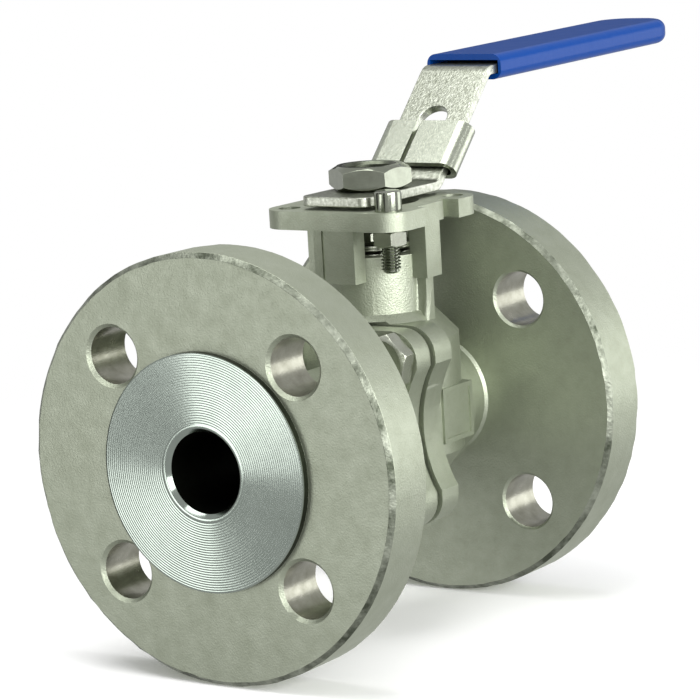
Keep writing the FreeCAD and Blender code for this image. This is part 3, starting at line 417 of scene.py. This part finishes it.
# One groove, in shares of the pitch and of the depth.
GROOVE = ((0, 0), (0.22, 0.55), (0.5, 1), (0.78, 0.55))
for name, face_x, side in (("inlet_face_serration", inlet_face, -1),
                           ("outlet_face_serration", outlet_face, 1)):
    # Rows are (depth below the raised face, radius), in millimetres.
    profile = [(1.0, 9.95), (0.05, 10.88), (0.0, 11.05)]
    for number in range(count):
        start = FIRST + number * PITCH
        profile += [(DEPTH * down, start + PITCH * along) for along, down in GROOVE]
    profile += [(0, FIRST + count * PITCH), (0.1, 28.98), (0.3, 29), (0.5, 28.9), (0.5, 11.4),
                (1.2, 10.4)]
    shape = bmesh.new()
    line = [shape.verts.new((face_x - depth * side * MM, 0, radius * MM))
            for depth, radius in profile]
    edges = [shape.edges.new(pair) for pair in zip(line, line[1:] + line[:1])]
    bmesh.ops.spin(shape, geom=line + edges, cent=(0, 0, 0), axis=(1, 0, 0),
                   angle=math.tau, steps=144, use_merge=True)
    bmesh.ops.remove_doubles(shape, verts=shape.verts, dist=SEAM)
    bmesh.ops.recalc_face_normals(shape, faces=shape.faces)
    loose(name, shape, [turned], "valve_body")


# Joint bolts, stop pin nut, gland parts and ball: stainless pieces, mostly turned from bar,
# with their edges broken. The bolts clamp the end cap to the body, and the gland nut presses
# the packing down on the stem.

# Machined metal: satin and even, with faint tool marks drawn at 0.5 mm so that they show.
machined = metal("machined_stainless", ("A9AD9E", "BABEB0"),
                 rough=0.25, spread=0.04, mottle_mm=6, grit_mm=0.5, grit=0.08)
# Polished metal: coloured a little darker, with clear reflections of cards and surround.
polished = metal("polished_stainless", ("83877A", "959A8C"),
                 rough=0.13, spread=0.03, mottle_mm=6, grit_mm=0.5, grit=0.04)
for node, width, surface in (
        ("stop_pin_nut", 0.15, machined),
        ("joint_bolt_1", 0.2, machined), ("joint_bolt_2", 0.2, machined),
        ("joint_bolt_3", 0.2, machined), ("joint_bolt_4", 0.2, machined),
        ("gland_nut", 0.2, machined),
        ("tab_washer", 0.1, machined), ("gland", 0.1, machined),
        ("spring_washer_1", 0.05, machined), ("spring_washer_2", 0.05, machined),
        ("ball", 0.2, polished)):
    riding = frame["nodes"][node]["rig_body"]
    loose(f"{node}_finished", eased(node, width), [surface], riding, stands_for=[node])


# Stem: turned stainless bar with two flats, which the lever fits over. Its foot turns the
# ball, and the lever nut holds the lever down on it.

# Its parted-off end is rough, and is coloured darker than bare metal: a painted shade.
dull = metal("parted_off_painted_shade_stainless", ("4A4E43", "6B7062"),
             rough=0.35, spread=0.08, mottle_mm=2, grit_mm=0.4, grit=0.3)
shape = eased("stem", width=0.12)
# The material slot of the dull faces with painted shade, and how far down from the top they start.
DULL, END_LENGTH = 1, 1.2 * MM
stem_top = max(vert.co.z for vert in shape.verts)
# The faces at the top of the stem take the painted shade.
for face in shape.faces:
    if min(vert.co.z for vert in face.verts) > stem_top - END_LENGTH:
        face.material_index = DULL
loose("stem_finished", shape, [machined, dull], "lever_and_stem",
      stands_for=["stem"])


# Lever nut: a polished stainless hexagon with its corners turned off, screwed down on the
# stem over the lever. The wall of its tapped hole takes the same painted shade as the stem's end.

# The wall lies within this radius, and its faces point up or down less than this.
IN_HOLE, UPRIGHT = 8.6 * MM, 0.8
shape = eased("lever_nut", width=0.25, segments=3)
# The wall of the tapped hole takes the painted shade.
for face in shape.faces:
    reach = max(math.hypot(vert.co.x, vert.co.y) for vert in face.verts)
    if abs(face.normal.z) < UPRIGHT and reach < IN_HOLE:
        face.material_index = DULL
loose("lever_nut_finished", shape, [polished, dull], "lever_and_stem",
      stands_for=["lever_nut"])


# Stop pin: a polished stainless pin with a round head and a thread rolled on its lower end.
# It stands in the pad, held by its nut, and the lever's plate stops against it.
head_low, head_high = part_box("stop_pin")
pin_x, pin_y = (head_low.x + head_high.x) / 2, (head_low.y + head_high.y) / 2
HEAD, UNDER_HEAD, THREAD_OUT, THREAD_CORE, ROOT = 3.45, -5.1, 2.5, 2.0, 1.9
LEAD, TURNS, STEPS, START, END = 0.8, 13, 28, -20.2, -20.5
# Outline rows are (radius, height from the top of the head), in millimetres.
outline = [(0, 0), (2.9, 0), (3.3, -0.25), (HEAD, -0.8), (HEAD, UNDER_HEAD),
           (THREAD_OUT, UNDER_HEAD), (THREAD_OUT, -9.8), (THREAD_CORE, -10),
           (THREAD_CORE, -20.1), (1.5, END), (0, END)]
shape = bmesh.new()
line = [shape.verts.new((radius * MM, 0, height * MM)) for radius, height in outline]
edges = [shape.edges.new(pair) for pair in zip(line, line[1:])]
bmesh.ops.spin(shape, geom=line + edges, cent=(0, 0, 0), axis=(0, 0, 1), angle=math.tau,
               steps=40, use_merge=True)
bmesh.ops.remove_doubles(shape, verts=shape.verts, dist=SEAM)
bmesh.ops.recalc_face_normals(shape, faces=shape.faces)
# The thread's ridge starts from one closed outline and climbs a lead with each turn.
corners = [shape.verts.new((radius * MM, 0, (START + rise) * MM))
           for radius, rise in ((ROOT, 0), (THREAD_OUT, 0.32), (THREAD_OUT, 0.42),
                                (ROOT, 0.74))]
ring = [shape.edges.new(pair) for pair in zip(corners, corners[1:] + corners[:1])]
bmesh.ops.spin(shape, geom=corners + ring, cent=(0, 0, 0), axis=(0, 0, 1),
               angle=math.tau * TURNS, steps=STEPS * TURNS,
               dvec=(0, 0, LEAD * MM / STEPS))
bmesh.ops.holes_fill(shape, edges=[e for e in shape.edges if e.is_boundary], sides=4)
bmesh.ops.recalc_face_normals(shape, faces=shape.faces)
bmesh.ops.translate(shape, vec=(pin_x, pin_y, head_high.z), verts=shape.verts)
loose("stop_pin_threaded", shape, [polished], "valve_body", sharp=35,
      stands_for=["stop_pin"])


# Lever: 20 x 2.5 mm stainless strip, sheared, bent twice and tumbled. Its plate fits over the
# stem's flats, under the lever nut.

# Tumbling peens the faces, which sparkle with pale and dark flecks about 1 mm wide; sheared
# edges are rougher and paler.
strip_face = metal("tumbled_strip_stainless", ("747869", "BCC0B3"),
                   rough=0.3, spread=0.06, mottle_mm=1.1, grit_mm=0.6, grit=0.6, contrast=0.22)
strip_edge = metal("sheared_edge_stainless", ("8F9384", "DADDD2"),
                   rough=0.38, spread=0.1, mottle_mm=0.8, grit_mm=0.5, grit=0.8, contrast=0.25)
# The material slot of the sheared faces, and how their normals are told from the others'.
EDGE, SIDEWAYS, NOT_UP = 1, 0.6, 0.3
shape = eased("lever", width=0.3)
for face in shape.faces:
    back_end = face.normal.x < -SIDEWAYS and abs(face.normal.z) < NOT_UP
    if abs(face.normal.y) > SIDEWAYS or back_end:
        face.material_index = EDGE
loose("lever_strip", shape, [strip_face, strip_edge], "lever_and_stem",
      stands_for=["lever"])


# Lock plate: thin stainless sheet folded round the lever's incline, with an open seam and a
# tongue that drops between the pad's lobes. It slides on the incline.

# Worn sheet: satin, with flecks drawn just under 1 mm wide so that they show.
sheet_metal = metal("brushed_sheet_stainless", ("989D8E", "B9BEB0"),
                    rough=0.25, spread=0.04, mottle_mm=0.9, grit_mm=0.35, grit=0.35, contrast=0.25)
loose("lock_plate_folded", eased("lock_plate", width=0.18), [sheet_metal], "lock",
      stands_for=["lock_plate"])


# Grip: a thick sleeve of soft blue vinyl, made by dipping, that is pushed over the strip's
# level end. Its mouth and its outer edges are rounded.

# Dipped vinyl: a deep even blue with a weak sheen, its skin waving slightly over 9 mm.
WAVE, WAVE_DEPTH = 9, 0.6 * MM
vinyl = bpy.data.materials.new("dipped_blue_vinyl")
vinyl.use_nodes = True
skin = vinyl.node_tree.nodes["Principled BSDF"]
skin.inputs["Base Color"].default_value = linear("003880")
skin.inputs["Roughness"].default_value = 0.3
skin.inputs["Specular IOR Level"].default_value = 0.12
tree = vinyl.node_tree
where = add(tree, "ShaderNodeTexCoord").outputs["Object"]
wave = add(tree, "ShaderNodeTexNoise", {"Scale": 1000 / WAVE, "Detail": 3.0}, {"Vector": where})
bump = add(tree, "ShaderNodeBump", {"Strength": 0.25, "Distance": WAVE_DEPTH},
           {"Height": wave.outputs["Fac"]})
tree.links.new(bump.outputs[0], skin.inputs["Normal"])
loose("grip_dipped", eased("grip", width=0.5, segments=3), [vinyl], "lever_and_stem",
      stands_for=["grip"])


# Seats, packing rings, thrust washer and body gasket: white PTFE, turned to size and held
# between the metal parts. One moulded rubber ring sits in the stem's groove. These, and the
# antistatic spring and ball, keep their own meshes.
def polymer(name, codes, rough, mottle_mm, grit_mm, grit):
    """A plastic or rubber: two close colours in soft clouds over a fine grain."""
    made = bpy.data.materials.new(name)
    made.use_nodes = True
    tree = made.node_tree
    skin = tree.nodes["Principled BSDF"]
    skin.inputs["Roughness"].default_value = rough
    where = add(tree, "ShaderNodeTexCoord").outputs["Object"]
    cloud = add(tree, "ShaderNodeTexNoise", {"Scale": 1000 / mottle_mm, "Detail": 3.0},
                {"Vector": where})
    ramp = add(tree, "ShaderNodeValToRGB", None, {"Fac": cloud.outputs["Fac"]})
    low, high = ramp.color_ramp.elements
    low.position, high.position = 0.35, 0.65
    low.color, high.color = (linear(code) for code in codes)
    tree.links.new(ramp.outputs["Color"], skin.inputs["Base Color"])
    grain = add(tree, "ShaderNodeTexNoise", {"Scale": 1000 / grit_mm, "Detail": 2.0},
                {"Vector": where})
    bump = add(tree, "ShaderNodeBump", {"Strength": grit, "Distance": grit_mm * MM * GRAIN_DEPTH},
               {"Height": grain.outputs["Fac"]})
    tree.links.new(bump.outputs[0], skin.inputs["Normal"])
    return made


# PTFE is waxy white and faintly clouded; the rubber is a dull near-black.
ptfe = polymer("turned_white_ptfe", ("DEDED4", "EAEAE4"),
               rough=0.45, mottle_mm=4, grit_mm=0.4, grit=0.2)
rubber = polymer("moulded_black_rubber", ("161615", "222220"),
                 rough=0.55, mottle_mm=2, grit_mm=0.3, grit=0.3)
# Every node's mesh takes the material of its slot, also where a piece above stands for it.
finish = {"machined_stainless": machined, "polished_stainless": polished,
          "sheet_stainless": machined, "tumbled_stainless": strip_face, "ptfe": ptfe,
          "seal_rubber": rubber, "blue_vinyl": vinyl, "cast_stainless": cast}
for part in frame["record"]["subparts"]:
    mesh = frame["nodes"][part["node"]].data
    mesh.materials.clear()
    mesh.materials.append(finish[part["material_slot"]])
